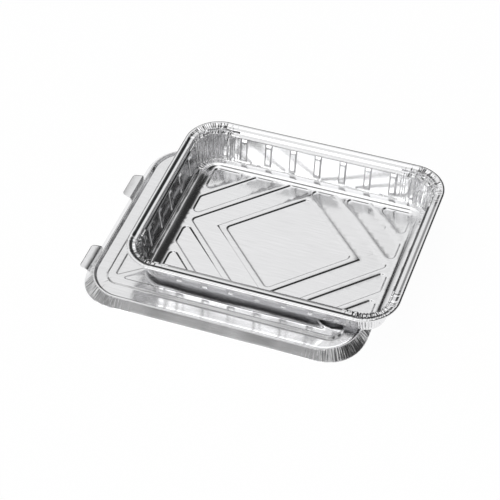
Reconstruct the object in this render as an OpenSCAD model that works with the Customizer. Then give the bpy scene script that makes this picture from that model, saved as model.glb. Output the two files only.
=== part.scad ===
// Pressed foil food tray, set down level on its own foil lid

/* [Foil] */
// Thickness of the foil of both pieces
foil = 0.15; // [0.08:0.01:0.3]

/* [Tray] */
// Length over the rolled rim
tray_l = 322; // [310:1:360]
// Width over the rolled rim
tray_w = 261; // [252:1:300]
// Height from the underside to the middle of the rolled rim
tray_h = 44.2; // [40:0.2:70]
// Radius of the corners, measured on the rolled rim
tray_corner_r = 42; // [36:1:48]
// How far the foot of the wall stands in from its top
wall_slope_long = 7.5; // [4:0.1:10]
// The same on the short sides
wall_slope_short = 3.3; // [2:0.1:8]

/* [Rim] */
// Radius of the rolled bead at the edge
bead_r = 1.6; // [1.2:0.1:2.2]
// Width from the outside of the bead to the neck
rim_w = 10.7; // [9:0.1:12]
// Drop from the rim to the shoulder
neck_drop = 3.5; // [2:0.1:5]
// Width of the shoulder along the long sides
shoulder_long = 5; // [3:0.1:6]
// Width of the shoulder along the short sides
shoulder_short = 2.4; // [1.5:0.1:4]
// Height of the crimps at the corners of the rim
crimp_depth = 0.5; // [0.2:0.05:0.8]

/* [Walls] */
// Upright ribs on a long side
ribs_long = 7; // [3:2:7]
// Upright ribs on a short side
ribs_short = 5; // [1:2:5]
// Distance from one rib to the next
rib_pitch = 31.3; // [20:0.1:31.5]
// Width of a rib at its root
rib_w = 8.8; // [5:0.1:10]
// How far a rib stands in from the wall
rib_depth = 1.3; // [0.6:0.1:2]
// Folds in the foil at a corner
pleats = 8; // [6:1:12]
// Depth of a corner fold
pleat_depth = 0.8; // [0.3:0.05:1]

/* [Tray base] */
// Width of the ledge at the foot of the walls
ledge_w = 6; // [4:0.1:7]
// Height of the ledge above the floor
ledge_h = 3.1; // [2:0.1:4]
// Width of the slope below the ledge along the long sides
slope_long = 5; // [3:0.1:6]
// Width of the slope below the ledge along the short sides
slope_short = 7.4; // [4:0.1:8]
// Depth of the sunk panels of the floor
panel_depth = 1.3; // [0.6:0.1:2]
// Width of the sloping edge of a sunk panel
panel_edge = 1.6; // [1:0.1:2]
// Radius of the corners of the panels
panel_r = 6; // [4:0.5:8]
// Flat border of the floor along the long sides
border_long = 1.6; // [1:0.1:4]
// Flat border of the floor along the short sides
border_short = 4.6; // [2:0.1:6]
// Distance of the first diagonal ridge from the middle along either axis
ridge_first = 82.2; // [76:0.2:84]
// Distance from one diagonal ridge to the next along either axis
ridge_pitch = 43.7; // [40:0.1:45]
// Width of the flat top of a ridge
ridge_top = 2.2; // [1:0.1:4]

/* [Lid] */
// Length over the crest of the lid
lid_l = 323; // [300:1:340]
// Width over the crest of the lid
lid_w = 261.6; // [240:0.2:280]
// Height of the crest above the hem
lid_h = 10.5; // [8:0.5:16]
// Radius of the corners of the crest
lid_corner_r = 44; // [38:1:50]
// Outward slope of the skirt from crest to hem
skirt_flare = 8; // [5:0.5:11]
// How much further the hem stands out at the corners
corner_flare = 2.4; // [0:0.1:3]
// Width of the crest
crest_w = 2.6; // [2:0.1:4]
// Width of the slope inside the crest
crest_slope = 2.6; // [2:0.1:5]
// Depth of the sunk border inside the crest
lid_sink = 2.4; // [1:0.1:3]
// Distance from the crest to the raised middle of the lid along the long sides
lid_border_long = 22.8; // [17:0.2:28]
// Distance from the crest to the raised middle of the lid along the short sides
lid_border_short = 21; // [17:0.2:28]
// Radius of the corners of the raised middle
lid_panel_r = 14; // [10:0.5:18]
// Height of the upright hem along the bottom of the skirt
hem_h = 1.2; // [0.8:0.1:2]
// Depth of a corner fold in the skirt
skirt_pleat = 0.75; // [0.3:0.05:1]

/* [Lid pattern] */
// Depth of the sunk fields in the middle of the lid
field_depth = 0.9; // [0.4:0.1:1.4]
// Width of the sloping edge of a field
field_edge = 1.3; // [1:0.1:2]
// Radius of the corners of a field
field_r = 2.6; // [2.4:0.1:5]
// Flat border between the edge of the raised middle and the fields
field_border = 8.4; // [6:0.1:12]
// Width of the flat top of the ridges that cross from corner to corner
cross_top = 2.6; // [1.5:0.1:5]

/* [Lid tabs] */
// Width of a tab at the hem
tab_w = 42; // [24:1:48]
// How far a tab stands out from the hem
tab_out = 11.5; // [8:0.5:16]
// Radius of the corners of a tab's tip
tab_r = 3; // [1.5:0.5:5]
// Places of the two tabs along the short side, from the middle of the lid
tab_places = [-72.5, 56];
// Upward tilt of each tab
tab_tilts = [4, 10];

/* [Resting place] */
// How far the tray stands to the right of the middle of the lid
tray_shift_x = 39.3; // [30:0.1:41]
// How far the tray stands behind the middle of the lid
tray_shift_y = 15.5; // [0:0.1:17]
// Gap between the tray and the lid that it stands on
seat_gap = 0.05; // [0.02:0.01:0.3]

/* [Hidden] */

// Angles round the rolled bead, from its tucked-in edge to the rim
bead_angles = [200, 245, 290, 335, 20, 65];
// Distances from the middle of the bead to the dip behind it and to the middle of the rim
dip_in = 1.2;
rim_mid = 4.2;
// Rise of the rim just behind the bead
dip_rise = 0.5;
// Width of the slope of the neck
neck_w = 1;
// Shares of the wall's height where its ribs reach and leave their full height
rib_top = 0.08;
rib_foot = 0.86;
// Fall of a shoulder or ledge towards the floor
fall = 0.3;
// Distance by which a cut runs past the surface that it cuts
past = 1;
corner_steps = 2 * pleats;

// Heights of the middle of the tray's foil
floor_z = foil / 2 + panel_depth;
ledge_z = floor_z + ledge_h;
shoulder_z = tray_h - neck_drop;
wall_h = shoulder_z - fall - ledge_z;

// Half sizes and corner radii of the tray's outlines
rim_a = tray_l / 2 - bead_r - foil / 2;
rim_b = tray_w / 2 - bead_r - foil / 2;
rim_r = tray_corner_r - bead_r - foil / 2;
neck_in = rim_w - bead_r;
wall_a = rim_a - neck_in - neck_w - shoulder_short;
wall_b = rim_b - neck_in - neck_w - shoulder_long;
wall_r = rim_r - neck_in - neck_w - (shoulder_long + shoulder_short) / 3;
foot_a = wall_a - wall_slope_short;
foot_b = wall_b - wall_slope_long;
foot_r = wall_r - (wall_slope_long + wall_slope_short) / 3;
ledge_a = foot_a - ledge_w;
ledge_b = foot_b - ledge_w;
ledge_r = foot_r - ledge_w;
floor_a = ledge_a - slope_short;
floor_b = ledge_b - slope_long;
floor_r = ledge_r - slope_long;
panels_a = floor_a - border_short;
panels_b = floor_b - border_long;

// Half distance across a ridge from panel to panel, measured along an axis
ridge_half = (ridge_top / 2 + panel_edge) * sqrt(2);

// Heights and half sizes of the lid
crest_z = lid_h - foil / 2;
sunk_z = crest_z - lid_sink;
crest_a = lid_l / 2;
crest_b = lid_w / 2;
hem_a = crest_a + skirt_flare;
hem_b = crest_b + skirt_flare;
hem_r = lid_corner_r + skirt_flare;
middle_a = crest_a - lid_border_short;
middle_b = crest_b - lid_border_long;
// Radius of the bend between skirt and crest
crest_bend = 0.6;

// The set is centred on its footprint, with the hem of the lid at height 0
set_left = -hem_a - tab_out * cos(min(tab_tilts));
set_right = max(hem_a, tray_shift_x + tray_l / 2);
set_front = -hem_b;
set_back = max(hem_b, tray_shift_y + tray_w / 2);
lid_place = [-(set_left + set_right) / 2, -(set_front + set_back) / 2, 0];
tray_place = lid_place + [tray_shift_x, tray_shift_y, lid_h + seat_gap];

// One level of a section: half length, half width, corner radius, height of the
// middle of the foil, rib height, fold height and extra flare at the corners
function level(a, b, r, z, rib = 0, fold = 0, flare = 0) = [a, b, r, z, rib, fold, flare];

// Places along a straight side where its ribs bend, with the height of the rib there
function rib_marks(count) = [
    for (i = [0 : count - 1], m = [[-0.5, 0], [-0.35, 1], [0.35, 1], [0.5, 0]])
        [(i - (count - 1) / 2) * rib_pitch + m[0] * rib_w, m[1]]
];

// Share of the way into a corner, from 0 at its ends to 1 at its middle
function into_corner(j) = sin(180 * j / corner_steps);

// Height of a corner fold at a step, from -1 to 1: uneven, and fading out at the corner's ends
function fold(j, quarter) = (j % 2 == 0 ? -1 : 1) * pow(max(into_corner(j), 0), 0.7)
    * (0.75 + 0.25 * sin(137 * j + 71 * quarter));

// A station is [corner side x, corner side y, place on a straight side, normal x,
// normal y, share of rib height, share of fold height, share of corner flare]
function side_stations(nx, ny, count) = [
    for (m = count > 0 ? rib_marks(count) : []) [nx, ny, (ny == 0 ? nx : -ny) * m[0], nx, ny, m[1], 0, 0]
];

function corner_stations(quarter) = let (
    sx = quarter < 2 ? 1 : -1,
    sy = quarter == 1 || quarter == 2 ? 1 : -1
) [
    for (j = [0 : corner_steps]) let (angle = 90 * (quarter - 1 + j / corner_steps))
        [sx, sy, 0, cos(angle), sin(angle), 0, fold(j, quarter), pow(into_corner(j), 2)]
];

// All stations once round a piece, anticlockwise from the front
function stations(long_count, short_count) = concat(
    side_stations(0, -1, long_count), corner_stations(0),
    side_stations(1, 0, short_count), corner_stations(1),
    side_stations(0, 1, long_count), corner_stations(2),
    side_stations(-1, 0, short_count), corner_stations(3)
);

function unit(v) = v / norm(v);

// Unit vector to the left of a section between two levels, as [outward, up]
function left_of(from, to) = let (d = unit([(to[0] + to[1] - from[0] - from[1]) / 2, to[3] - from[3]]))
    [-d[1], d[0]];

// Vector across the foil at a level, lengthened at a bend to keep the foil's thickness
function across(levels, i) = let (
    last = len(levels) - 1,
    before = left_of(levels[max(i, 1) - 1], levels[max(i, 1)]),
    after = left_of(levels[min(i, last - 1)], levels[min(i, last - 1) + 1]),
    mean = unit(before + after)
) mean / max(mean * after, 0.7);

// Point of the sheet at a level and a station, shifted across the foil
function sheet_point(lv, side, s, shift) = let (
    d = shift - s[5] * lv[4] + s[6] * lv[5],
    radius = lv[2] + side[0] * d + s[7] * lv[6]
) [
    s[0] * (lv[0] - lv[2]) + s[3] * radius + (s[0] == 0 ? s[2] - s[3] * radius : 0),
    s[1] * (lv[1] - lv[2]) + s[4] * radius + (s[1] == 0 ? s[2] - s[4] * radius : 0),
    lv[3] + side[1] * d
];

// A rib station counts only on the levels that have ribs and on their neighbours
function ribbed(levels, i) = let (last = len(levels) - 1)
    max(levels[max(i - 1, 0)][4], levels[i][4], levels[min(i + 1, last)][4]) > 0;

// Station that stands in for station j on a level without ribs: the end of the corner before it
function stand_in(ring, j) = ring[j][0] == 0 || ring[j][1] == 0
    ? stand_in(ring, (j + len(ring) - 1) % len(ring)) : j;

function corner_ends(ring) = [for (j = [0 : len(ring) - 1]) stand_in(ring, j)];

// Triangles of one skin, without those that have no width
function skin_faces(levels, ring) = let (
    n = len(ring),
    ends = corner_ends(ring),
    at = [for (i = [0 : len(levels) - 1]) ribbed(levels, i) ? [for (j = [0 : n - 1]) j] : ends]
) [
    for (i = [0 : len(levels) - 2], j = [0 : n - 1]) let (
        k = (j + 1) % n,
        a = i * n + at[i][j],
        b = i * n + at[i][k],
        c = (i + 1) * n + at[i + 1][k],
        d = (i + 1) * n + at[i + 1][j]
    ) each [if (a != b) [a, b, c], if (c != d) [a, c, d]]
];

function backwards(list) = [for (i = [len(list) - 1 : -1 : 0]) list[i]];

function moved_on(list, by) = [for (v = list) v + by];

// Closed sheet of foil: follows a section round a ring of stations, level inside the last level
module pressed_sheet(levels, ring) {
    n = len(ring);
    u = n * len(levels);
    points = [
        for (half = [1, -1], i = [0 : len(levels) - 1], s = ring)
            sheet_point(levels[i], across(levels, i), s, half * foil / 2)
    ];
    skin = skin_faces(levels, ring);
    rim = [for (j = [0 : n - 1]) if (stand_in(ring, j) == j) j];
    count = len(rim);
    polyhedron(points, concat(
        skin,
        [for (f = skin) moved_on(backwards(f), u)],
        [for (k = [0 : count - 1]) let (a = rim[k], b = rim[(k + 1) % count]) [b, a, u + a]],
        [for (k = [0 : count - 1]) let (a = rim[k], b = rim[(k + 1) % count]) [b, u + a, u + b]],
        [moved_on(rim, u - n)],
        [moved_on(backwards(rim), 2 * u - n)]
    ), convexity = 10);
}

// Presses fields down into a level sheet, child 0, whose foil has its middle at height z.
// A field is the hull of its corner points, with corners of radius r and a sloping edge
module pressed_down(z, fields, r, depth, edge) {
    difference() {
        union() {
            children(0);
            for (f = fields) sloped_block(f, r, depth, edge, z - foil / 2, foil / 2);
        }
        for (f = fields) sloped_block(f, r, depth, edge, z + foil / 2, past);
    }
}

// Block of one field below height z, with sloping sides that carry on above it by extra
module sloped_block(corners, r, depth, edge, z, extra) {
    hull() for (p = corners) translate([p[0], p[1], z - depth])
        cylinder(h = depth + extra, r1 = r - edge, r2 = r + extra * edge / depth, $fn = 16);
}

// Corner points of the panels in one quarter of the floor
function quarter_panels() = let (
    x = panels_a - panel_r,
    y = panels_b - panel_r,
    r = panel_r * sqrt(2),
    s = [for (i = [0 : 2], k = [1, -1]) ridge_first + i * ridge_pitch + k * ridge_half],
    in1 = s[0] + r,
    out1 = s[3] - r,
    in2 = s[2] + r,
    out2 = s[5] - r,
    in3 = s[4] + r
) [
    [[in1, 0], [out1, 0], [in1 - y, y], [out1 - y, y]],
    [[x, in2 - x], [x, out2 - x], [in2 - y, y], [out2 - y, y]],
    [[x, in3 - x], [x, y], [in3 - y, y]]
];

function turned(points, sx, sy) = [for (p = points) [sx * p[0], sy * p[1]]];

function floor_panels() = let (m = ridge_first - ridge_half - panel_r * sqrt(2)) concat(
    [[[m, 0], [0, m], [-m, 0], [0, -m]]],
    [for (sx = [-1, 1], sy = [-1, 1], p = quarter_panels()) turned(p, sx, sy)]
);

// Part way from a to b
function mix(a, b, t) = a + (b - a) * t;

// Level of the rim, inset from the middle of the bead
function rim_level(inset, z, fold) = level(rim_a - inset, rim_b - inset, rim_r - inset, z, 0, fold);

// Level of the wall, at a share of the way down it
function wall_level(t, rib, fold) = level(mix(wall_a, foot_a, t), mix(wall_b, foot_b, t),
    mix(wall_r, foot_r, t), shoulder_z - fall - t * wall_h, rib, fold);

// Tray: rolled bead, flat rim, neck, shoulder, ribbed walls, ledge, slope and floor
module tray() {
    c = crimp_depth;
    p = pleat_depth;
    levels = concat(
        [for (t = bead_angles) rim_level(-bead_r * cos(t), tray_h + bead_r * sin(t), 0.2 * c)],
        [
            rim_level(dip_in, tray_h + dip_rise, 0.8 * c),
            rim_level(rim_mid, tray_h, c),
            rim_level(neck_in, tray_h, c),
            rim_level(neck_in + neck_w, shoulder_z, c),
            wall_level(0, 0, 0.8 * p),
            wall_level(rib_top, rib_depth, p),
            wall_level(rib_foot, rib_depth, p),
            wall_level(1, 0, 0.4 * p),
            level(ledge_a, ledge_b, ledge_r, ledge_z - fall, 0, 0.1 * p),
            level(floor_a, floor_b, floor_r, floor_z)
        ]
    );
    pressed_down(floor_z, floor_panels(), panel_r, panel_depth, panel_edge)
        pressed_sheet(levels, stations(ribs_long, ribs_short));
}

// Corner points of the four fields between the ridges that cross the middle of the lid
function lid_fields() = let (
    x = middle_a - field_border - field_r,
    y = middle_b - field_border - field_r,
    angle = atan2(middle_b, middle_a),
    g = cross_top / 2 + field_edge + field_r
) concat(
    [for (s = [-1, 1]) let (w = (y * cos(angle) - g) / sin(angle))
        [[-w, s * y], [w, s * y], [0, s * g / cos(angle)]]],
    [for (s = [-1, 1]) let (w = (x * sin(angle) - g) / cos(angle))
        [[s * x, -w], [s * x, w], [s * g / sin(angle), 0]]]
);

// Level of the lid, set out from the edge of its crest
function crest_level(out, z, fold = 0) =
    level(crest_a + out, crest_b + out, lid_corner_r + out, z, 0, fold);

// Level of the hem, at a height
function hem_level(z) =
    level(hem_a - foil / 2, hem_b - foil / 2, hem_r - foil / 2, z, 0, skirt_pleat, corner_flare);

// Lid: hem, skirt, crest, sunk border, raised middle and two tabs
module lid() {
    s = crest_slope;
    levels = [
        hem_level(0),
        hem_level(hem_h),
        crest_level(crest_bend, crest_z - crest_bend, 0.6 * skirt_pleat),
        crest_level(-crest_bend, crest_z),
        crest_level(-crest_w, crest_z),
        crest_level(-crest_w - s, sunk_z),
        level(middle_a + s, middle_b + s, lid_panel_r + s, sunk_z),
        level(middle_a, middle_b, lid_panel_r, crest_z)
    ];
    pressed_down(crest_z, lid_fields(), field_r, field_depth, field_edge)
        pressed_sheet(levels, stations(0, 0));
    for (i = [0, 1]) tab(tab_places[i], tab_tilts[i]);
}

// Tab that stands out from the left hem of the lid, rounded at its tip
module tab(place, tilt) {
    translate([-hem_a, place, hem_h / 2]) rotate([0, tilt, 0]) linear_extrude(foil) hull() {
        translate([0, -tab_w / 2]) square([3 * foil, tab_w]);
        for (s = [-1, 1]) translate([tab_r - tab_out, s * (tab_w / 2 - 2 * tab_r)])
            circle(r = tab_r, $fn = 24);
    }
}

translate(tray_place) color("silver") tray();
translate(lid_place) color("gainsboro") lid();
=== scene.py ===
"""Pressed foil food tray, standing on its own foil lid: its finishes, its studio and its camera.

The two solids of the frame give place and size. Each is replaced by a finer sheet of foil that has
the same section, with the fine creases, crimps and slack that pressing leaves in thin metal.
Lengths are in millimetres unless a name or a comment says otherwise.
"""

import logging
import math
from dataclasses import astuple, dataclass, field
from enum import Enum
from typing import Iterable, Sequence

import bpy
import numpy as np
from bpy.types import Material, Mesh, Node, NodeSocket, NodeTree, Object, World
from mathutils import Matrix, Vector
from mathutils.geometry import delaunay_2d_cdt
from numpy.random import Generator

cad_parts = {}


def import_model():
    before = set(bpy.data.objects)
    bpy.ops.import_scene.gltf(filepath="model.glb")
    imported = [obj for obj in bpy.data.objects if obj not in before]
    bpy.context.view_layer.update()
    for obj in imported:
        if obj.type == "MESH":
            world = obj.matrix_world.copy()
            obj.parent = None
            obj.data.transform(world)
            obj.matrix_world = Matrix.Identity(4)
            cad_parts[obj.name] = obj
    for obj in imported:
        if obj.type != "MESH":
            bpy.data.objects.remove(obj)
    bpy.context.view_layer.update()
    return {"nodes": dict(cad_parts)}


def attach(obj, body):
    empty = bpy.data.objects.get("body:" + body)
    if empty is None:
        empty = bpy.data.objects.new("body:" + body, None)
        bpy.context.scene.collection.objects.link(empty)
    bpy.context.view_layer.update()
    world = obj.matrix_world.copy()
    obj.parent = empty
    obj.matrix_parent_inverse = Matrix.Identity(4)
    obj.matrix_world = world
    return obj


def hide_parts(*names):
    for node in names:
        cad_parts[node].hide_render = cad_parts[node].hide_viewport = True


log = logging.getLogger("foil_container")

Spots = Sequence[tuple[float, float]]
Triple = tuple[float, float, float]

MM = 0.001
WHITE = (1.0, 1.0, 1.0, 1.0)

# Where the two pieces stand in the frame.
LID_PLACE = (-9.664, -3.6, 0.0)
TRAY_PLACE = (29.636, 11.9, 10.55)

# Most of a stretch that the bend at its end may take.
BEND_SHARE = 0.45

# Stations of a ring: how unevenly they stand, the steps between them, and how folds run out.
JITTER = 0.3
PLAIN_STEP = 9.0
CREASED_STEP = 1.3
CREASED_END = 24.0
CREASE_RUN = 1.2
CREASE_GROWTH = 1.5

# Stations over a rib's flank, as shares of the flank's width inwards from its foot.
FLANK_MARKS = (-0.85, -0.25, 0.0, 0.33, 0.67, 1.0, 1.25)

# How far apart the seeds of the slack lie in its noise.
SEED_STEP = 7.3

# Faces are shaded flat where the folds are higher than this and where a share of them is left.
FOLD_HEIGHT = 0.12
FOLD_SHARE = 0.05

# What a point of a sheet carries when nothing is pressed there.
PLAIN_MARKS = {"along": 0.0, "rib": 0.0, "crease": 0.0, "slack": 0.0, "push": (0.0, 0.0, 1.0)}

# Section of a sunk field's edge: share of its width outwards, and share of its depth upwards.
EDGE_PROFILE = ((-0.16, 0.0), (0.0, 0.04), (0.3, 0.32), (0.7, 0.68), (1.0, 0.96), (1.16, 1.0))

# Points of the middle: how far they keep from the rim and from a field's edge.
RIM_MARGIN = 2.5
EDGE_MARGIN = 1.2
EDGE_OVERRUN = 0.2
GRID_STEP = 4.5
ARC_STEP = math.radians(16)


class Zone(Enum):
    """Part of a ring of stations round a pressed piece."""

    RIBBED = "straight side with upright ribs"
    CREASED = "end of a straight side where the corner's folds run out"
    CORNER = "rounded corner, pressed into folds"


def linear(hex_colour: str) -> tuple[float, float, float, float]:
    """Turn a hex colour in sRGB into linear red, green, blue and alpha.

    Args:
        hex_colour: Six hex digits, with or without a leading hash sign.

    Returns:
        The colour as Blender's sockets take it, with alpha 1.
    """
    digits = hex_colour.lstrip("#")
    channels = [int(digits[i : i + 2], 16) / 255 for i in (0, 2, 4)]
    curved = [c / 12.92 if c <= 0.04045 else ((c + 0.055) / 1.055) ** 2.4 for c in channels]
    return (*curved, 1.0)


def add_node(tree: NodeTree, kind: str, settings: dict | None = None, **inputs) -> Node:
    """Add a node with its settings, its values and its links.

    Args:
        tree: Node tree that takes the node.
        kind: Blender's name for the node's type.
        settings: Properties of the node, set before its sockets are read.
        **inputs: Value or output socket for each input, by name with underscores for spaces, or by
            in0, in1 and so on for the input with that number.

    Returns:
        The new node.
    """
    node = tree.nodes.new(kind)
    for name, value in (settings or {}).items():
        setattr(node, name, value)
    for name, value in inputs.items():
        numbered = name.startswith("in") and name[2:].isdigit()
        socket = node.inputs[int(name[2:])] if numbered else node.inputs[name.replace("_", " ")]
        if isinstance(value, NodeSocket):
            tree.links.new(value, socket)
        else:
            socket.default_value = value
    return node


def bare_tree(owner: Material | World) -> NodeTree:
    """Give a material or world an empty node tree.

    Args:
        owner: Material or world that takes it.

    Returns:
        The empty tree.
    """
    owner.use_nodes = True
    owner.node_tree.nodes.clear()
    return owner.node_tree


def add_object(name: str, data: bpy.types.ID) -> Object:
    """Add an object to the scene.

    Args:
        name: Name of the object.
        data: Mesh, light or camera that it shows.

    Returns:
        The new object.
    """
    made = bpy.data.objects.new(name, data)
    bpy.context.scene.collection.objects.link(made)
    return made


def maths(tree: NodeTree, operation: str, *values: object) -> NodeSocket:
    """Add a Math node.

    Args:
        tree: Node tree that takes the node.
        operation: Name of the operation.
        *values: Number or output socket for each input, in order.

    Returns:
        The node's output socket.
    """
    numbered = {f"in{i}": value for i, value in enumerate(values)}
    return add_node(tree, "ShaderNodeMath", {"operation": operation}, **numbered).outputs[0]


@dataclass(frozen=True)
class RolledFoil:
    """Aluminium container foil, rolled bright and pressed cold over a steel tool.

    It reads as a clear but soft mirror: slightly blurred reflections, faint lines along the rolling
    direction and a fine orange peel where the metal was stretched.
    """

    name: str
    colour: str
    roughness: float
    rolling_line: float = 0.9
    grain: float = 1.6
    handled_patch: float = 38.0
    bump: float = 0.05

    def material(self) -> Material:
        """Build the foil's material.

        Returns:
            The new material.
        """
        made = bpy.data.materials.new(self.name)
        tree = bare_tree(made)

        def noise(vector: object, size: float, **more: float) -> NodeSocket:
            """Add a noise with a size in millimetres."""
            scale = 1 / (size * MM)
            node = add_node(tree, "ShaderNodeTexNoise", Vector=vector, Scale=scale, **more)
            return node.outputs["Fac"]

        def spread(value: object, low: float, high: float) -> NodeSocket:
            """Spread the middle of a noise over a range."""
            node = add_node(
                tree, "ShaderNodeMapRange", Value=value, From_Min=0.3, From_Max=0.7,
                To_Min=low, To_Max=high,
            )
            return node.outputs[0]

        place = add_node(tree, "ShaderNodeTexCoord").outputs["Object"]
        # The rolling lines run along X: the pattern is stretched forty times along that axis.
        stretched = add_node(
            tree, "ShaderNodeMapping", Vector=place, Scale=(1 / 40, 1.0, 1.0)
        ).outputs[0]
        lines = noise(stretched, self.rolling_line, Detail=3.0, Roughness=0.6)
        peel = noise(place, self.grain, Detail=2.0)
        handled = noise(place, self.handled_patch, Detail=3.0)
        colour = add_node(
            tree, "ShaderNodeMix", {"data_type": "RGBA", "blend_type": "MULTIPLY"},
            in0=1.0, in6=linear(self.colour), in7=spread(lines, 0.9, 1.0),
        ).outputs[2]
        rough = spread(handled, self.roughness * 0.85, self.roughness * 1.2)
        relief = maths(tree, "MULTIPLY_ADD", lines, 0.6, maths(tree, "MULTIPLY", peel, 0.4))
        bump = add_node(
            tree, "ShaderNodeBump", Height=relief, Strength=self.bump, Distance=0.1 * MM,
        ).outputs[0]
        shader = add_node(
            tree, "ShaderNodeBsdfPrincipled", Base_Color=colour, Metallic=1.0,
            Roughness=rough, Normal=bump,
        )
        add_node(tree, "ShaderNodeOutputMaterial", Surface=shader.outputs[0])
        return made


@dataclass(frozen=True)
class Level:
    """One level of a pressed section: a rounded rectangle at a height, with its marks."""

    half_x: float
    half_y: float
    corner: float
    z: float
    rib: float = 0.0
    crease: float = 0.0
    slack: float = 0.0
    flare: float = 0.0
    bend: float = 0.6

    def values(self) -> tuple[float, ...]:
        """Give the values that change from one level to the next: all but the bend."""
        return astuple(self)[:-1]


def rounded_section(levels: Sequence[Level], longest: float) -> np.ndarray:
    """Round each bend of a section and split its long stretches.

    Args:
        levels: Levels of the section, from its edge to its middle.
        longest: Longest stretch that is left between two rows.

    Returns:
        One row of level values for each ring of points.
    """
    marks = np.array([level.values() for level in levels])
    plan = np.stack([(marks[:, 0] + marks[:, 1]) / 2, marks[:, 3]], 1)
    rows = [marks[0]]
    for i in range(1, len(marks) - 1):
        back, ahead = (np.linalg.norm(plan[i] - plan[k]) for k in (i - 1, i + 1))
        here, bend = marks[i], levels[i].bend
        start = here + (marks[i - 1] - here) * min(bend / back, BEND_SHARE)
        end = here + (marks[i + 1] - here) * min(bend / ahead, BEND_SHARE)
        steps = (0, 0.5, 1) if bend else ()
        curve = [start * (1 - t) ** 2 + here * 2 * t * (1 - t) + end * t * t for t in steps]
        rows += curve or [here]
    rows.append(marks[-1])
    split = [rows[0]]
    for before, after in zip(rows, rows[1:]):
        length = math.hypot((after[0] + after[1] - before[0] - before[1]) / 2, after[3] - before[3])
        parts = max(1, math.ceil(length / longest))
        split += [before + (after - before) * (k + 1) / parts for k in range(parts)]
    return np.array(split)


@dataclass(frozen=True)
class Ribs:
    """Upright ribs of a wall: how many a long and a short side have, and their sizes."""

    long_side: int = 0
    short_side: int = 0
    pitch: float = 10.0
    width: float = 1.0
    flank: float = 0.5
    depth: float = 0.0


@dataclass
class Ring:
    """Stations once round a pressed piece, anticlockwise from its front.

    Each station is where one upright line of points runs over the section: a place on a straight
    side, or an angle of a rounded corner. Its row gives core x, y, place x, y, normal x, y, place
    along the side and share of the folds.
    """

    ribs: Ribs
    side_x: float
    side_y: float
    corner_steps: int
    seed: int
    rows: list[tuple] = field(default_factory=list)
    zones: list[Zone] = field(default_factory=list)

    def __post_init__(self) -> None:
        """Lay out the stations of the four sides and the four corners."""
        rng = np.random.default_rng(self.seed)
        for quarter, normal in enumerate(((0, -1), (1, 0), (0, 1), (-1, 0))):
            self._side(normal, rng)
            self._corner(quarter, rng)

    def _side(self, normal: tuple[int, int], rng: Generator) -> None:
        """Lay out one straight side.

        Args:
            normal: Outward direction of the side.
            rng: Source of chance for the uneven creases.
        """
        along_x = normal[0] == 0
        reach = self.side_x if along_x else self.side_y
        ribs = self.ribs.long_side if along_x else self.ribs.short_side
        half = self.ribs.width / 2
        flank = half - self.ribs.flank * np.array(FLANK_MARKS)
        marks = np.concatenate([-flank, [0.0], flank[::-1], [self.ribs.pitch / 2]])
        centres = (np.arange(ribs) - (ribs - 1) / 2) * self.ribs.pitch
        places = [c + m for c in centres for m in marks]
        ribbed = (ribs - 1) / 2 * self.ribs.pitch + half if ribs else reach - CREASED_END
        if not ribs:
            places = list(np.linspace(-ribbed, ribbed, 2 * int(ribbed / PLAIN_STEP) + 1))
        places = [p for p in places if abs(p) <= ribbed + 1e-6]
        count = max(2, int((reach - ribbed) / CREASED_STEP))
        tail = ribbed + (reach - ribbed) * (np.arange(count) + 1) / count
        tail = tail + rng.uniform(-JITTER, JITTER, count) * (np.arange(count) < count - 1)
        run = CREASE_RUN * (reach - ribbed)
        turn = -normal[1] if along_x else normal[0]
        line = [(-t, Zone.CREASED, (t - ribbed) / run) for t in tail[::-1]]
        line += [(p, Zone.RIBBED, 0.0) for p in places]
        line += [(t, Zone.CREASED, (t - ribbed) / run) for t in tail]
        for place, zone, share in line:
            spot = (turn * place, 0.0) if along_x else (0.0, turn * place)
            self.rows.append((*normal, *spot, *normal, place, share ** CREASE_GROWTH))
            self.zones.append(zone)

    def _corner(self, quarter: int, rng: Generator) -> None:
        """Lay out one rounded corner.

        Args:
            quarter: Number of the corner, anticlockwise from the front right one.
            rng: Source of chance for the uneven creases.
        """
        sign = ((1, -1), (1, 1), (-1, 1), (-1, -1))[quarter]
        for k in range(self.corner_steps + 1):
            inner = 0 < k < self.corner_steps
            step = (k + (rng.uniform(-JITTER, JITTER) if inner else 0.0)) / self.corner_steps
            angle = math.radians(90 * (quarter - 1 + step))
            normal = (math.cos(angle), math.sin(angle))
            self.rows.append((*sign, 0.0, 0.0, *normal, 0.0, 1.0))
            self.zones.append(Zone.CORNER)


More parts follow.
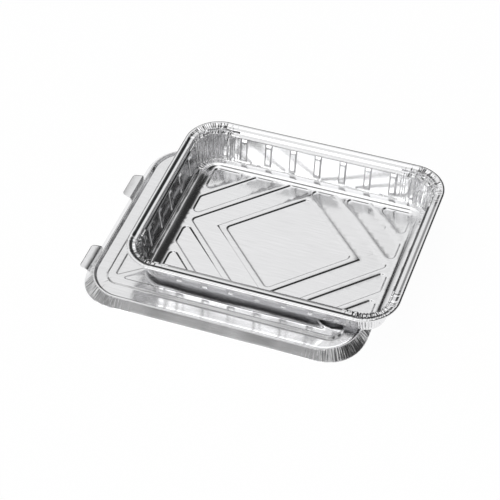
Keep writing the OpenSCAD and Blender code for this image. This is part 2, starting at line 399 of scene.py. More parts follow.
@dataclass
class Draft:
    """Points and faces of a sheet of foil before it is made a mesh, with its pressing marks."""

    points: list = field(default_factory=list)
    faces: list = field(default_factory=list)
    smooth: list = field(default_factory=list)
    marks: dict = field(default_factory=lambda: {name: [] for name in PLAIN_MARKS})

    def add(
        self, points: np.ndarray, faces: Iterable, smooth: Iterable, **marks: np.ndarray
    ) -> None:
        """Add points and faces to the draft.

        Args:
            points: Places of the points.
            faces: Faces by the numbers of their points in the draft.
            smooth: Whether each face is shaded smooth.
            **marks: Pressing marks of the points that aren't plain.
        """
        self.points += [tuple(p) for p in points]
        self.faces += [tuple(int(i) for i in f) for f in faces]
        self.smooth += [bool(s) for s in smooth]
        for name, plain in PLAIN_MARKS.items():
            given = marks.get(name)
            self.marks[name] += [plain] * len(points) if given is None else list(given)

    def mesh(self, name: str, place: Vector) -> Mesh:
        """Make the draft a mesh in metres, with its pressing marks as attributes.

        Args:
            name: Name of the mesh.
            place: Where the draft's origin lies in the frame, in metres.

        Returns:
            The new mesh.
        """
        made = bpy.data.meshes.new(name)
        points = np.array(self.points) * MM + np.array(place)
        made.from_pydata([tuple(p) for p in points], [], self.faces)
        made.polygons.foreach_set("use_smooth", self.smooth)
        for key, values in self.marks.items():
            kind = "FLOAT_VECTOR" if key == "push" else "FLOAT"
            scale = 1.0 if key in ("push", "rib", "slack") else MM
            layer = made.attributes.new(key, kind, "POINT")
            flat = (np.array(values, dtype=np.float32) * scale).ravel()
            layer.data.foreach_set("vector" if key == "push" else "value", flat)
        made.update()
        return made


def smooth_noise(shape: tuple[int, int], cells: tuple[int, int], rng: Generator) -> np.ndarray:
    """Give a smooth random field over a grid of rows and stations.

    Args:
        shape: Rows and stations.
        cells: Rows and stations of the coarse grid that it is drawn on.
        rng: Source of chance.

    Returns:
        Values from -1 to 1.
    """
    coarse = rng.uniform(-1, 1, (cells[0] + 1, cells[1] + 1))
    coarse[:, -1] = coarse[:, 0]
    rows = np.linspace(0, cells[0], shape[0])
    stations = np.linspace(0, cells[1], shape[1], endpoint=False)
    i = np.minimum(rows.astype(int), cells[0] - 1)
    j = np.minimum(stations.astype(int), cells[1] - 1)
    a, b = (rows - i)[:, None], (stations - j)[None, :]
    a, b = a * a * (3 - 2 * a), b * b * (3 - 2 * b)
    return (
        coarse[i][:, j] * (1 - a) * (1 - b) + coarse[i][:, j + 1] * (1 - a) * b
        + coarse[i + 1][:, j] * a * (1 - b) + coarse[i + 1][:, j + 1] * a * b
    )


def folds(points: np.ndarray, rng: Generator, spacing: float) -> np.ndarray:
    """Give the heights of the upright folds that gathering leaves in a corner.

    Each fold is a sharp line between two slack faces. It leans and wanders on its way, and its
    neighbours are wider or narrower than it.

    Args:
        points: Places of the points by row and station.
        rng: Source of chance.
        spacing: Mean distance between folds.

    Returns:
        Heights from about -1 to 1 by row and station.
    """
    rows, stations = points.shape[:2]
    grid = (rows, stations)
    middle = points[rows * 2 // 3]
    step = np.linalg.norm(np.roll(middle, -1, 0) - middle, axis=1)
    run = np.concatenate([[0.0], np.cumsum(step)[:-1]])
    marks = np.cumsum(rng.uniform(0.55, 1.45, int(step.sum() / spacing * 1.2) + 4)) * spacing
    phase = np.interp(run, marks, np.arange(len(marks)))
    lean = 0.5 * smooth_noise(grid, (3, stations // 9), rng)
    wander = 0.14 * smooth_noise(grid, (max(2, rows // 6), stations // 4), rng)
    wave = np.abs(np.mod(phase[None, :] + (lean + wander), 1.0) * 2 - 1)
    strength = 0.75 + 0.4 * smooth_noise(grid, (3, stations // 3), rng)
    crumple = 0.16 * smooth_noise(grid, (max(2, rows // 3), stations // 2), rng)
    return (1 - 2 * wave) * strength + crumple


def sweep(
    draft: Draft, section: np.ndarray, ring: Ring, spacing: float, crimped: float
) -> list[int]:
    """Sweep a section round a ring of stations.

    Args:
        draft: Draft that takes the sheet.
        section: Rows of level values, from the sheet's edge inwards.
        ring: Stations that the section follows.
        spacing: Mean distance between the creases.
        crimped: Height from which the creases are fine crimps, half as far apart.

    Returns:
        Numbers of the points on the last row, once round.
    """
    rng = np.random.default_rng(ring.seed)
    st = np.array(ring.rows)
    n, m = len(st), len(section)
    half_x, half_y, corner, z, rib, crease, slack, flare = section.T[:, :, None]
    plan = np.stack([(section[:, 0] + section[:, 1]) / 2, section[:, 3]], 1)
    run = np.gradient(plan, axis=0)
    run /= np.linalg.norm(run, axis=1)[:, None]
    out, up = -run[:, 1][:, None], run[:, 0][:, None]
    opening = (2 * st[:, 4] * st[:, 5]) ** 2
    radius = corner + flare * opening[None, :]
    x = st[:, 0] * (half_x - corner) + st[:, 2] + st[:, 4] * radius
    y = st[:, 1] * (half_y - corner) + st[:, 3] + st[:, 5] * radius
    places = np.stack([x, y, np.broadcast_to(z, x.shape)], 2)
    push = np.stack([out * st[:, 4], out * st[:, 5], np.broadcast_to(up, x.shape)], 2)
    coarse, fine = (folds(places, rng, spacing * share) for share in (1.0, 0.5))
    folded = st[:, 7]
    height = np.where(z > crimped, fine, coarse) * crease * folded[None, :]
    ribbed = np.array([zone is Zone.RIBBED for zone in ring.zones])
    first = len(draft.points)
    order = np.arange(n)
    ahead = (order + 1) % n
    faces, smooth = [], []
    for i in range(m - 1):
        a, b = first + i * n, first + (i + 1) * n
        faces += list(np.stack([a + order, a + ahead, b + ahead, b + order], 1))
        creased = (folded > FOLD_SHARE) & (folded[ahead] > FOLD_SHARE)
        smooth += list(~((crease[i, 0] > FOLD_HEIGHT) & creased))
    draft.add(
        places.reshape(-1, 3), faces, smooth,
        along=np.tile(st[:, 6], m),
        rib=(rib * ribbed[None, :]).ravel(),
        crease=height.ravel(),
        slack=np.broadcast_to(slack, x.shape).ravel(),
        push=push.reshape(-1, 3),
    )
    return list(first + (m - 1) * n + order)


def beside_line(
    x: np.ndarray, y: np.ndarray, start: Sequence[float], end: Sequence[float]
) -> tuple[np.ndarray, np.ndarray]:
    """Measure how far points lie from a straight line.

    Args:
        x: The points' x.
        y: The points' y.
        start: Start of the line.
        end: End of the line.

    Returns:
        The distances, and the share of the line's length at which each point lies.
    """
    (x0, y0), (x1, y1) = start, end
    dx, dy = x1 - x0, y1 - y0
    share = np.clip(((x - x0) * dx + (y - y0) * dy) / (dx * dx + dy * dy), 0, 1)
    return np.hypot(x - x0 - share * dx, y - y0 - share * dy), share


@dataclass(frozen=True)
class SunkFields:
    """Fields pressed down into a level middle, each with a sloping edge and rounded corners."""

    cores: Sequence[Spots]
    corner: float
    depth: float
    edge: float

    def outline(self, core: Spots, reach: float) -> Spots:
        """Trace a line at a distance outside a core polygon.

        Args:
            core: Corners of the core, anticlockwise.
            reach: Distance of the line from the core.

        Returns:
            Points of the line, anticlockwise.
        """
        spots = [np.array(p, dtype=float) for p in core]
        count = len(spots)
        line = []
        for i, spot in enumerate(spots):
            before = spot - spots[i - 1]
            after = spots[(i + 1) % count] - spot
            n1, n2 = (np.array([v[1], -v[0]]) / np.linalg.norm(v) for v in (before, after))
            if before[0] * after[1] - before[1] * after[0] < 0:
                line.append(spot + reach * (n1 + n2) / (1 + n1 @ n2))
                continue
            start, end = math.atan2(n1[1], n1[0]), math.atan2(n2[1], n2[0])
            turn = (end - start) % (2 * math.pi)
            steps = max(2, math.ceil(turn / ARC_STEP))
            angles = start + turn * np.arange(steps + 1) / steps
            line += [spot + reach * np.array([math.cos(a), math.sin(a)]) for a in angles]
        filled = []
        for here, there in zip(line, line[1:] + line[:1]):
            parts = max(1, round(float(np.linalg.norm(there - here)) / GRID_STEP))
            filled += [tuple(here + (there - here) * k / parts) for k in range(parts)]
        return filled

    def distance(self, x: np.ndarray, y: np.ndarray, core: Spots) -> np.ndarray:
        """Measure how far points lie outside a core polygon, negative inside.

        Args:
            x: The points' x.
            y: The points' y.
            core: Corners of the core.

        Returns:
            The distances.
        """
        away = np.full(x.shape, np.inf)
        inside = np.zeros(x.shape, dtype=bool)
        for start, end in zip(core, [*core[1:], core[0]]):
            away = np.minimum(away, beside_line(x, y, start, end)[0])
            (x0, y0), (x1, y1) = start, end
            if y0 != y1:
                inside ^= ((y0 > y) != (y1 > y)) & (x < x0 + (y - y0) * (x1 - x0) / (y1 - y0))
        return np.where(inside, -away, away)

    def fill(self, draft: Draft, rim: Sequence[int], slack: float) -> None:
        """Fill the middle of a sheet inside a rim of points.

        Args:
            draft: Draft that holds the rim and takes the middle.
            rim: Numbers of the rim's points, once round.
            slack: Share of the foil's slack that shows in the middle.
        """
        border = [draft.points[i] for i in rim]
        z = border[0][2]
        flat, heights = [Vector(p[:2]) for p in border], [z] * len(border)
        edges = [(i, (i + 1) % len(border)) for i in range(len(border))]
        for core in self.cores:
            for t, share in EDGE_PROFILE:
                loop = self.outline(core, self.corner - self.edge + self.edge * t)
                first = len(flat)
                flat += [Vector(p) for p in loop]
                heights += [z - self.depth * (1 - share)] * len(loop)
                edges += [(first + i, first + (i + 1) % len(loop)) for i in range(len(loop))]
        xs, ys = (np.array([p[i] for p in border]) for i in (0, 1))
        gx, gy = np.meshgrid(*(np.arange(v.min(), v.max(), GRID_STEP) for v in (xs, ys)))
        gx = gx + (np.arange(gx.shape[0]) % 2)[:, None] * GRID_STEP / 2
        gx, gy = gx.ravel(), gy.ravel()
        nearest = np.min([np.hypot(gx - p[0], gy - p[1]) for p in border], 0)
        level = np.full(gx.shape, z)
        free = nearest > RIM_MARGIN
        outside, inside = self.edge * EDGE_OVERRUN, -self.edge * (1 + EDGE_OVERRUN)
        for core in self.cores:
            away = self.distance(gx, gy, core) - self.corner
            free &= (away > outside + EDGE_MARGIN) | (away < inside - EDGE_MARGIN)
            level = np.where(away < inside, z - self.depth, level)
        free &= (np.abs(gx) < xs.max() - RIM_MARGIN) & (np.abs(gy) < ys.max() - RIM_MARGIN)
        flat += [Vector((float(a), float(b))) for a, b in zip(gx[free], gy[free])]
        heights += list(level[free])
        triangles, nearness = 1, 1e-5
        spots, _, faces, origins, _, _ = delaunay_2d_cdt(flat, edges, [], triangles, nearness)
        number, fresh, places = {}, [], []
        for i, source in enumerate(origins):
            old = min(source) if source else -1
            if 0 <= old < len(border):
                number[i] = rim[old]
                continue
            number[i] = len(draft.points) + len(fresh)
            fresh.append(i)
            places.append((*spots[i], heights[old] if old >= 0 else z))
        draft.add(
            np.array(places), [[number[i] for i in f] for f in faces], [True] * len(faces),
            slack=np.full(len(places), slack), push=np.tile((0.0, 0.0, -1.0), (len(places), 1)),
        )


@dataclass(frozen=True)
class Crinkle:
    """One fold line in the foil, straight in plan, that stands up or in from the sheet."""

    start: tuple[float, float]
    end: tuple[float, float]
    width: float
    height: float

    def heights(self, points: np.ndarray) -> np.ndarray:
        """Give how far the fold moves each point.

        Args:
            points: Places of the points.

        Returns:
            The heights, 0 beyond the fold's width.
        """
        away, share = beside_line(points[:, 0], points[:, 1], self.start, self.end)
        fading = np.sin(np.pi * np.clip(share * 0.92 + 0.04, 0, 1)) ** 0.5
        return self.height * np.clip(1 - away / self.width, 0, 1) * fading


@dataclass(frozen=True)
class PressedRelief:
    """Relief of a pressed sheet: upright ribs, folds, and the slack of thin foil once let go.

    It is one node tree. Each point moves along its own pressing direction by what the marks of the
    sheet ask for, so one tree serves every pressed piece of the set.
    """

    ribs: Ribs
    slack: float
    slack_size: float
    crumple: float
    crumple_size: float
    seed: int

    def tree(self) -> NodeTree:
        """Build the node tree.

        Returns:
            The new tree, with one named input for each size.
        """
        tree = bpy.data.node_groups.new("pressed_relief", "GeometryNodeTree")
        sockets = tree.interface
        sockets.new_socket("Geometry", in_out="INPUT", socket_type="NodeSocketGeometry")
        for name in self.lengths():
            sockets.new_socket(name, in_out="INPUT", socket_type="NodeSocketFloat")
        sockets.new_socket("Material", in_out="INPUT", socket_type="NodeSocketMaterial")
        sockets.new_socket("Geometry", in_out="OUTPUT", socket_type="NodeSocketGeometry")
        given = tree.nodes.new("NodeGroupInput").outputs

        def times(first: object, second: object) -> NodeSocket:
            """Multiply two values in the tree."""
            return maths(tree, "MULTIPLY", first, second)

        def mark(name: str, kind: str = "FLOAT") -> NodeSocket:
            """Read one pressing mark of the sheet."""
            node = add_node(tree, "GeometryNodeInputNamedAttribute", {"data_type": kind}, Name=name)
            return next(s for s in node.outputs if s.enabled and s.name == "Attribute")

        def uneven(name: str, detail: float) -> NodeSocket:
            """Add a noise of a named height, with swells of the size that goes with it."""
            noise = add_node(
                tree, "ShaderNodeTexNoise", {"noise_dimensions": "4D"},
                W=times(given["Seed"], SEED_STEP), Detail=detail, Roughness=0.5,
                Scale=maths(tree, "DIVIDE", 1.0, given[f"{name} size"]),
            ).outputs[0]
            return times(maths(tree, "MULTIPLY_ADD", noise, 4.0, -2.0), given[name])

        along, rib, crease, slack = map(mark, ("along", "rib", "crease", "slack"))
        push = mark("push", "FLOAT_VECTOR")
        pitch, half = given["Rib pitch"], times(given["Rib width"], 0.5)
        nearest = times(maths(tree, "ROUND", maths(tree, "DIVIDE", along, pitch)), pitch)
        shape = add_node(
            tree, "ShaderNodeMapRange", {"interpolation_type": "SMOOTHSTEP"},
            Value=maths(tree, "ABSOLUTE", maths(tree, "SUBTRACT", along, nearest)),
            From_Min=maths(tree, "SUBTRACT", half, given["Rib flank"]), From_Max=half,
            To_Min=1.0, To_Max=0.0,
        ).outputs[0]
        ribs = times(times(shape, rib), times(given["Rib depth"], -1.0))
        give = times(maths(tree, "ADD", uneven("Slack", 1.0), uneven("Crumple", 2.0)), slack)
        total = maths(tree, "ADD", maths(tree, "ADD", ribs, crease), give)
        offset = add_node(
            tree, "ShaderNodeVectorMath", {"operation": "SCALE"}, in0=push, Scale=total
        ).outputs[0]
        moved = add_node(
            tree, "GeometryNodeSetPosition", Geometry=given["Geometry"], Offset=offset
        ).outputs[0]
        dressed = add_node(
            tree, "GeometryNodeSetMaterial", Geometry=moved, Material=given["Material"]
        ).outputs[0]
        add_node(tree, "NodeGroupOutput", Geometry=dressed)
        return tree

    def lengths(self) -> dict[str, float]:
        """Give the tree's named inputs in metres, and its seed."""
        sizes = {
            "Rib pitch": self.ribs.pitch, "Rib width": self.ribs.width,
            "Rib flank": self.ribs.flank, "Rib depth": self.ribs.depth,
            "Slack": self.slack, "Slack size": self.slack_size,
            "Crumple": self.crumple, "Crumple size": self.crumple_size,
        }
        return {name: size * MM for name, size in sizes.items()} | {"Seed": float(self.seed)}

    def press(self, mesh: Mesh, material: Material, thickness: float) -> Object:
        """Press a sheet, give it the foil's thickness and make it a plain mesh.

        Args:
            mesh: The sheet, with its pressing marks.
            material: Finish of the sheet.
            thickness: Thickness of the foil.

        Returns:
            The finished piece.
        """
        piece = add_object(mesh.name, mesh)
        relief = piece.modifiers.new("relief", "NODES")
        relief.node_group = self.tree()
        values = self.lengths() | {"Material": material}
        for item in relief.node_group.interface.items_tree:
            if item.in_out == "INPUT" and item.name in values:
                relief[item.identifier] = values[item.name]
        solid = piece.modifiers.new("foil", "SOLIDIFY")
        solid.thickness = thickness * MM
        solid.offset = 0.0
        graph = bpy.context.evaluated_depsgraph_get()
        done = bpy.data.meshes.new_from_object(
            piece.evaluated_get(graph), preserve_all_data_layers=True, depsgraph=graph
        )
        piece.modifiers.clear()
        piece.data = done
        for name in PLAIN_MARKS:
            if name in done.attributes:
                done.attributes.remove(done.attributes[name])
        done.name = mesh.name
        return piece


@dataclass
class FoilTray:
    """Oblong tray with a rolled bead, ribbed walls, folded corners and a floor with sunk panels."""

    place: Triple
    foil: float = 0.15
    length: float = 322.0
    width: float = 261.0
    height: float = 44.2
    corner: float = 42.0
    bead: float = 1.6
    ribs: Ribs = Ribs(7, 5, pitch=31.3, width=8.8, flank=1.5, depth=1.3)
    panel_corner: float = 6.0
    panel_depth: float = 1.3
    panel_edge: float = 1.6
    # How far the wall's top lies inside the edge, and its foot inside its top: in x, y and corner.
    wall_inset: Triple = (14.175, 16.775, 14.24)
    wall_fall: Triple = (3.3, 7.5, 3.6)
    shoulder_drop: float = 3.5
    shoulder_fall: float = 0.3
    ledge_rise: float = 3.4
    # The floor's pattern: half sizes of its area, and the ridges at 45 degrees across it.
    floor_reach: tuple[float, float] = (119.525, 87.625)
    ridge_first: float = 82.2
    ridge_pitch: float = 43.7
    ridge_top: float = 2.2
    edge_clearance: float = 0.2
    seed: int = 11

    def section(self) -> list[Level]:
        """Give the section's levels, from the tucked-in edge of the bead to the floor."""
        floor_z = self.foil / 2 + self.panel_depth
        ledge_z, shoulder_z = floor_z + self.ledge_rise, self.height - self.shoulder_drop
        outer = np.array([self.length / 2, self.width / 2, self.corner])
        bead = outer - (self.bead + self.foil / 2 + self.edge_clearance)
        top = outer - self.wall_inset
        foot = top - self.wall_fall
        wall_h = shoulder_z - self.shoulder_fall - ledge_z

        def rim(inset: float, z: float, crease: float, bend: float = 0.5) -> Level:
            """Give a level of the rim, at a distance inside the bead's middle."""
            return Level(*(bead - inset), z, crease=crease, slack=0.35, bend=bend)

        def wall(t: float, rib: float, crease: float, bend: float = 0.8) -> Level:
            """Give the level at a share of the way down the wall."""
            z = shoulder_z - self.shoulder_fall - t * wall_h
            return Level(*(top + (foot - top) * t), z, rib, crease, slack=0.13, bend=bend)

        def inside(insets: Triple, z: float, **marks: float) -> Level:
            """Give a level inside the wall's foot."""
            return Level(*(foot - insets), z, slack=0.3, **marks)

        curl, middle_z = np.radians(np.linspace(200, 425, 12)), self.height - 0.05
        return [
            *(
                rim(-self.bead * math.cos(t), middle_z + self.bead * math.sin(t), 0.12, 0.0)
                for t in curl
            ),
            rim(2.0, self.height + 1.15, 0.35, 0.6),
            rim(5.4, self.height, 0.45, 0.6),
            rim(9.1, self.height, 0.45),
            rim(10.1, shoulder_z, 0.5),
            wall(0, 0, 0.75),
            wall(0.06, 0, 0.9, 0.15),
            wall(0.14, 1, 1.05, 0.15),
            wall(0.81, 1, 0.9, 0.15),
            wall(0.89, 0, 0.5, 0.15),
            wall(1, 0, 0.3),
            inside((6, 6, 6), ledge_z - 0.45, crease=0.12),
            inside((10.6, 9, 9), floor_z + 1.9, crease=0.05, bend=0.5),
            inside((13.4, 11, 11), floor_z, bend=0.5),
        ]

    def panels(self) -> list[Spots]:
        """Give the core corners of the floor's sunk panels."""
        (x, y), r = self.floor_reach, self.panel_corner * math.sqrt(2)
        half = (self.ridge_top / 2 + self.panel_edge) * math.sqrt(2)
        ridges = [self.ridge_first + i * self.ridge_pitch for i in range(3)]
        in1, in2, in3 = (ridge + half + r for ridge in ridges)
        m, out1, out2 = (ridge - half - r for ridge in ridges)
        cores = [[(m, 0.0), (0.0, m), (-m, 0.0), (0.0, -m)]]
        quarter = [
            [(x, in2 - x), (x, out2 - x), (out2 - y, y), (in2 - y, y)],
            [(x, in3 - x), (x, y), (in3 - y, y)],
        ]
        for side in (1, -1):
            left, right = in1 - y, out1 - y
            chevron = [(left, -y), (right, -y), (out1, 0.0), (right, y), (left, y), (in1, 0.0)]
            cores.append([(side * a, b) for a, b in chevron][::side])
            for up in (1, -1):
                cores += [[(side * a, up * b) for a, b in core][:: side * up] for core in quarter]
        return cores

    def build(self, finish: RolledFoil) -> Object:
        """Build the tray.

        Args:
            finish: Finish of its foil.

        Returns:
            The tray as one piece.
        """
        draft = Draft()
        rows = rounded_section(self.section(), longest=3.0)
        ring = Ring(self.ribs, side_x=116.5, side_y=81.5, corner_steps=60, seed=self.seed)
        last = sweep(draft, rows, ring, spacing=3.1, crimped=self.height - 2.0)
        fields = SunkFields(self.panels(), self.panel_corner, self.panel_depth, self.panel_edge)
        fields.fill(draft, last, slack=0.2)
        relief = PressedRelief(
            self.ribs, slack=0.22, slack_size=34.0, crumple=0.05, crumple_size=6.0, seed=self.seed
        )
        sheet = draft.mesh("foil_tray", Vector(self.place) * MM)
        piece = relief.press(sheet, finish.material(), self.foil)
        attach(piece, "root")
        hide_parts("tray")
        return piece


@dataclass
class FoilLid:
    """Flat foil lid with a flared skirt, a sunk border, four sunk fields and two tabs."""

    place: Triple
    foil: float = 0.15
    length: float = 323.0
    width: float = 261.6
    height: float = 10.5
    corner: float = 44.0
    flare: float = 8.0
    corner_flare: float = 2.4
    hem: float = 1.2
    sink: float = 2.4
    border: tuple[float, float] = (21.0, 22.8)
    border_slope: float = 1.9
    middle_corner: float = 14.0
    field_corner: float = 2.6
    field_depth: float = 0.9
    field_edge: float = 1.3
    field_border: float = 8.4
    cross_half: float = 1.3
    tab_width: float = 42.0
    tab_out: float = 11.5
    tab_corner: float = 3.0
    tab_root: float = 0.4
    tab_rounding: float = 0.98
    tab_grid: tuple[int, int] = (40, 14)
    # Each tab's middle along the hem, its tilt and its curl.
    tabs: tuple[Triple, ...] = ((-72.5, 8.0, 20.0), (56.0, 6.0, -6.0))
    seed: int = 29

    def section(self) -> list[Level]:
        """Give the section's levels, from the hem to the raised middle."""
        crest_z = self.height - self.foil / 2
        sunk_z = crest_z - self.sink
        outer = np.array([self.length / 2, self.width / 2, self.corner])
        middle = np.array([*(outer[:2] - self.border), self.middle_corner])
        out = self.flare - self.foil / 2 - 0.15

        def edge(reach: float, z: float, **marks: float) -> Level:
            """Give a level of the skirt, the crest or the sunk border's edge."""
            return Level(*(outer + reach), z, **marks)

        def inner(reach: float, z: float, **marks: float) -> Level:
            """Give a level at the edge of the raised middle."""
            return Level(*(middle + reach), z, slack=1.0, **marks)

        return [
            edge(out, 0.17, crease=0.18, slack=0.1, flare=self.corner_flare, bend=0.3),
            edge(out - 0.4, 0.85, crease=0.18, slack=0.1, flare=self.corner_flare, bend=0.3),
            edge(-0.5, crest_z - 0.8, crease=0.2, slack=0.1, bend=0.4),
            edge(-1.4, crest_z, crease=0.12, slack=0.2, bend=0.5),
            edge(-2.7, crest_z, crease=0.1, slack=0.3, bend=0.3),
            edge(-5.2, sunk_z, crease=0.12, slack=0.5, bend=0.4),
            inner(self.border_slope, sunk_z, bend=0.5),
            inner(0.0, crest_z, bend=0.5),
            inner(-2.0, crest_z),
        ]

    def fields(self) -> list[Spots]:
        """Give the core corners of the four sunk fields."""
        a, b = self.length / 2 - self.border[0], self.width / 2 - self.border[1]
        x, y = (half - self.field_border - self.field_corner for half in (a, b))
        angle = math.atan2(b, a)
        cos, sin = math.cos(angle), math.sin(angle)
        gap = self.cross_half + self.field_edge + self.field_corner
        w, h = (y * cos - gap) / sin, (x * sin - gap) / cos
        cores = [(-w, -y), (w, -y), (0.0, -gap / cos)], [(x, -h), (x, h), (gap / sin, 0.0)]
        return [[(turn * a, turn * b) for a, b in core] for core in cores for turn in (1, -1)]

    def crinkles(self) -> list[Crinkle]:
        """Give the creases in the border's front left corner and the dent in the front skirt."""
        creases = (
            ((-155, -66), (-143, -63), 0.2), ((-154.5, -79), (-143, -74), -0.25),
            ((-153, -91), (-142, -84), 0.28), ((-149, -102), (-139, -93), -0.22),
            ((-142, -111), (-134, -101), 0.25),
        )
        dent = Crinkle((60, -129.5), (64, -139), width=15.0, height=-0.35)
        return [*(Crinkle(start, end, 1.9, height) for start, end, height in creases), dent]

    def add_tab(self, draft: Draft, middle: float, tilt: float, curl: float) -> None:
        """Add one tab to the left hem.

        Args:
            draft: Draft that takes the tab.
            middle: Place of the tab's middle along the hem.
            tilt: How far it tips up, in degrees.
            curl: How much less it tips at its end than at its root, in degrees.
        """
        columns, rows = self.tab_grid
        t = np.linspace(0, 1, rows)
        reach = t * self.tab_out
        half = self.tab_width / 2 - self.tab_corner * t
        rounding = np.clip((reach - (self.tab_out - self.tab_corner)) / self.tab_corner, 0, 1)
        half -= self.tab_corner * (1 - np.sqrt(1 - rounding ** 2)) * self.tab_rounding
        u = np.linspace(-1, 1, columns)
        tip = np.radians(tilt + curl * (0.5 - t))
        step = np.append(0.0, np.diff(reach))
        root = -(self.length / 2 + self.flare) + self.tab_root
        x = root - np.cumsum(step * np.cos(tip))[:, None] + 0 * u[None, :]
        y = middle + half[:, None] * u[None, :]
        z = self.hem / 2 + np.cumsum(step * np.sin(tip))[:, None] + 0 * u[None, :]
        first = len(draft.points)
        i, j = np.meshgrid(np.arange(rows - 1), np.arange(columns - 1), indexing="ij")
        a = (first + i * columns + j).ravel()
        faces = np.stack([a, a + columns, a + columns + 1, a + 1], 1)
        draft.add(
            np.stack([x, y, z], 2).reshape(-1, 3), faces[:, ::-1], [True] * len(faces),
            slack=np.repeat(t, columns),
        )

    def build(self, finish: RolledFoil) -> Object:
        """Build the lid.

        Args:
            finish: Finish of its foil.

        Returns:
            The lid as one piece.
        """
        draft = Draft()
        rows = rounded_section(self.section(), longest=3.0)
        ring = Ring(Ribs(), side_x=116.5, side_y=85.5, corner_steps=110, seed=self.seed)
        last = sweep(draft, rows, ring, spacing=1.7, crimped=self.height)
        fields = SunkFields(self.fields(), self.field_corner, self.field_depth, self.field_edge)
        fields.fill(draft, last, slack=1.0)
        for middle, tilt, curl in self.tabs:
            self.add_tab(draft, middle, tilt, curl)
        points, folded = np.array(draft.points), np.array(draft.marks["crease"])
        draft.marks["crease"] = list(sum((c.heights(points) for c in self.crinkles()), folded))
        relief = PressedRelief(
            Ribs(), slack=0.3, slack_size=42.0, crumple=0.06, crumple_size=7.0, seed=self.seed
        )
        sheet = draft.mesh("foil_lid", Vector(self.place) * MM)
        piece = relief.press(sheet, finish.material(), self.foil)
        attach(piece, "root")
        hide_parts("lid")
        return piece


@dataclass(frozen=True)
class PhotoCamera:
    """Camera that stands where the photograph was taken from."""

    place: Triple = (476.85, -1290.66, 1401.14)
    azimuth: float = 20.7915
    elevation: float = 45.5064
    roll: float = -1.3318
    lens: float = 120.545
    sensor: float = 36.0
    reach: float = 100.0

    def build(self) -> None:
        """Build the camera and make it the scene's own."""
        a, e, r = (math.radians(v) for v in (self.azimuth, self.elevation, self.roll))
        back = Vector((math.sin(a) * math.cos(e), -math.cos(a) * math.cos(e), math.sin(e)))
        level = Vector((math.cos(a), math.sin(a), 0.0))
        upright = back.cross(level)
        right = math.cos(r) * level + math.sin(r) * upright
        up = -math.sin(r) * level + math.cos(r) * upright
        data = bpy.data.cameras.new("photo_camera")
        data.lens, data.sensor_width, data.clip_end = self.lens, self.sensor, self.reach
        camera = add_object("photo_camera", data)
        turn = Matrix((right, up, back)).transposed().to_4x4()
        camera.matrix_world = Matrix.Translation(Vector(self.place) * MM) @ turn
        bpy.context.scene.camera = camera


@dataclass(frozen=True)
class SoftBox:
    """Soft light that faces the object from a direction."""

    name: str
    azimuth: float
    elevation: float
    distance: float
    width: float
    height: float
    radiance: float

    def build(self, target: Vector) -> None:
        """Build the light.

        Args:
            target: Point that it faces.
        """
        way = heading(self.azimuth, self.elevation)
        data = bpy.data.lights.new(self.name, "AREA")
        data.shape = "RECTANGLE"
        data.size, data.size_y = self.width, self.height
        data.energy = self.radiance * math.pi * self.width * self.height
        light = add_object(self.name, data)
        light.location = target + way * self.distance
        light.rotation_euler = way.to_track_quat("Z", "Y").to_euler()


def heading(azimuth: float, elevation: float) -> Vector:
    """Give a direction.

    Args:
        azimuth: Degrees from +Y towards +X.
        elevation: Degrees above the floor.

    Returns:
        Unit vector that way.
    """
    a, e = math.radians(azimuth), math.radians(elevation)
    return Vector((math.sin(a) * math.cos(e), math.cos(a) * math.cos(e), math.sin(e)))


@dataclass(frozen=True)
class Card:
    """Round card in the white tent, darker than the tent, with a soft edge."""

    azimuth: float
    elevation: float
    reach: float
    level: float
    softness: float


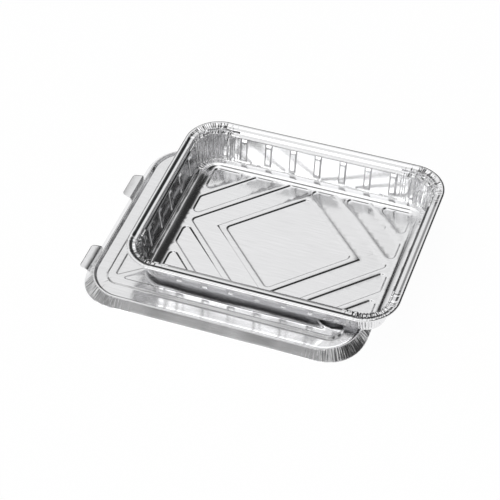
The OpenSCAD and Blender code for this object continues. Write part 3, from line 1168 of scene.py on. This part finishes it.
@dataclass(frozen=True)
class Studio:
    """Plain studio: pale floor, soft lights and a white tent with a few dark cards."""

    tent: float = 0.92
    floor_shadow: float = 0.08
    floor_glow: float = 1.04
    floor_half: float = 6.0
    floor_drop: float = 1e-4
    target: Triple = (0.0, 0.0, 0.03)

    def world(self) -> None:
        """Build the room's light, which changes with direction only."""
        world = bpy.data.worlds.new("studio_room")
        bpy.context.scene.world = world
        tree = bare_tree(world)
        way = add_node(tree, "ShaderNodeTexCoord").outputs["Generated"]
        strength: NodeSocket | float = self.tent
        for card in self.cards():
            facing = add_node(
                tree, "ShaderNodeVectorMath", {"operation": "DOT_PRODUCT"}, in0=way,
                in1=tuple(heading(card.azimuth, card.elevation)),
            ).outputs["Value"]
            dark = add_node(
                tree, "ShaderNodeMapRange", {"interpolation_type": "SMOOTHSTEP"}, Value=facing,
                From_Min=math.cos(math.radians(card.reach + card.softness)),
                From_Max=math.cos(math.radians(max(card.reach - card.softness, 0.0))),
                To_Min=0.0, To_Max=1.0,
            ).outputs[0]
            strength = add_node(
                tree, "ShaderNodeMix", {"data_type": "FLOAT"},
                in0=dark, in2=strength, in3=card.level,
            ).outputs[0]
        ray = add_node(tree, "ShaderNodeLightPath").outputs["Is Camera Ray"]
        seen = add_node(
            tree, "ShaderNodeMix", {"data_type": "FLOAT"}, in0=ray, in2=strength, in3=1.0
        ).outputs[0]
        shader = add_node(tree, "ShaderNodeBackground", Color=WHITE, Strength=seen).outputs[0]
        add_node(tree, "ShaderNodeOutputWorld", Surface=shader)

    def cards(self) -> list[Card]:
        """Give the cards in the tent: azimuth, elevation, reach, level and softness of each."""
        return [
            Card(-47, 14, 20, 0.03, 6),
            Card(38, 34, 35, 0.03, 7),
            Card(-2, 8, 25, 0.04, 6),
            Card(82, 46, 34, 0.04, 8),
            Card(114, 27, 12, 0.6, 6),
            Card(142, 24, 12, 0.15, 5),
            Card(-98, 10, 18, 0.2, 6),
            Card(-128, 17, 14, 0.3, 6),
            Card(160, 34, 14, 0.36, 5),
            *(Card(-181 + 5 * i, 33, 4.6, 0.2, 1.5) for i in range(8)),
            Card(131, 42, 9, 0.05, 4),
            Card(-155, 57.5, 7, 0.05, 2),
        ]

    def floor(self) -> None:
        """Build the floor."""
        made = bpy.data.materials.new("white_paper_sweep")
        tree = bare_tree(made)
        path = add_node(tree, "ShaderNodeLightPath").outputs
        mirrored = maths(tree, "MAXIMUM", path["Is Glossy Ray"], path["Is Transmission Ray"])
        seen = maths(tree, "MAXIMUM", path["Is Camera Ray"], mirrored)
        plain = add_node(tree, "ShaderNodeBsdfDiffuse", Color=linear("F2F2F2")).outputs[0]
        glow = add_node(
            tree, "ShaderNodeEmission", Color=WHITE, Strength=self.floor_glow
        ).outputs[0]
        share = maths(tree, "MULTIPLY", seen, 1.0 - self.floor_shadow)
        mixed = add_node(tree, "ShaderNodeMixShader", in0=share, in1=plain, in2=glow).outputs[0]
        add_node(tree, "ShaderNodeOutputMaterial", Surface=mixed)
        mesh = bpy.data.meshes.new("studio_floor")
        half, z = self.floor_half, -self.floor_drop
        corners = [(-half, -half, z), (half, -half, z), (half, half, z), (-half, half, z)]
        mesh.from_pydata(corners, [], [(0, 1, 2, 3)])
        mesh.materials.append(made)
        floor = add_object("studio_floor", mesh)

    def lights(self) -> list[SoftBox]:
        """Give the soft lights: where each hangs, its width, its height and its radiance."""
        return [
            SoftBox("front_soft_box", -161.0, 14.2, 2.6, 1.3, 0.8, 1.35),
            SoftBox("overhead_soft_box", -60.0, 80.0, 1.8, 1.0, 1.0, 0.4),
        ]

    def build(self) -> None:
        """Build the whole studio."""
        self.world()
        self.floor()
        for box in self.lights():
            box.build(Vector(self.target))


def main() -> None:
    """Build the studio, the camera and both pieces."""
    logging.basicConfig(level=logging.INFO, format="%(name)s: %(message)s")
    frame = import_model()
    log.info("frame loaded with %d nodes", len(frame["nodes"]))
    bpy.context.scene.view_settings.view_transform = "Standard"
    PhotoCamera().build()
    Studio().build()
    tray_finish = RolledFoil("bright_rolled_aluminium_tray_foil", "F3F3F4", roughness=0.14)
    lid_finish = RolledFoil("bright_rolled_aluminium_lid_foil", "F1F1F2", roughness=0.18)
    for maker, finish in ((FoilLid(LID_PLACE), lid_finish), (FoilTray(TRAY_PLACE), tray_finish)):
        piece = maker.build(finish)
        piece.data.calc_loop_triangles()
        log.info("%s built with %d triangles", piece.name, len(piece.data.loop_triangles))


if __name__ == "__main__":
    main()
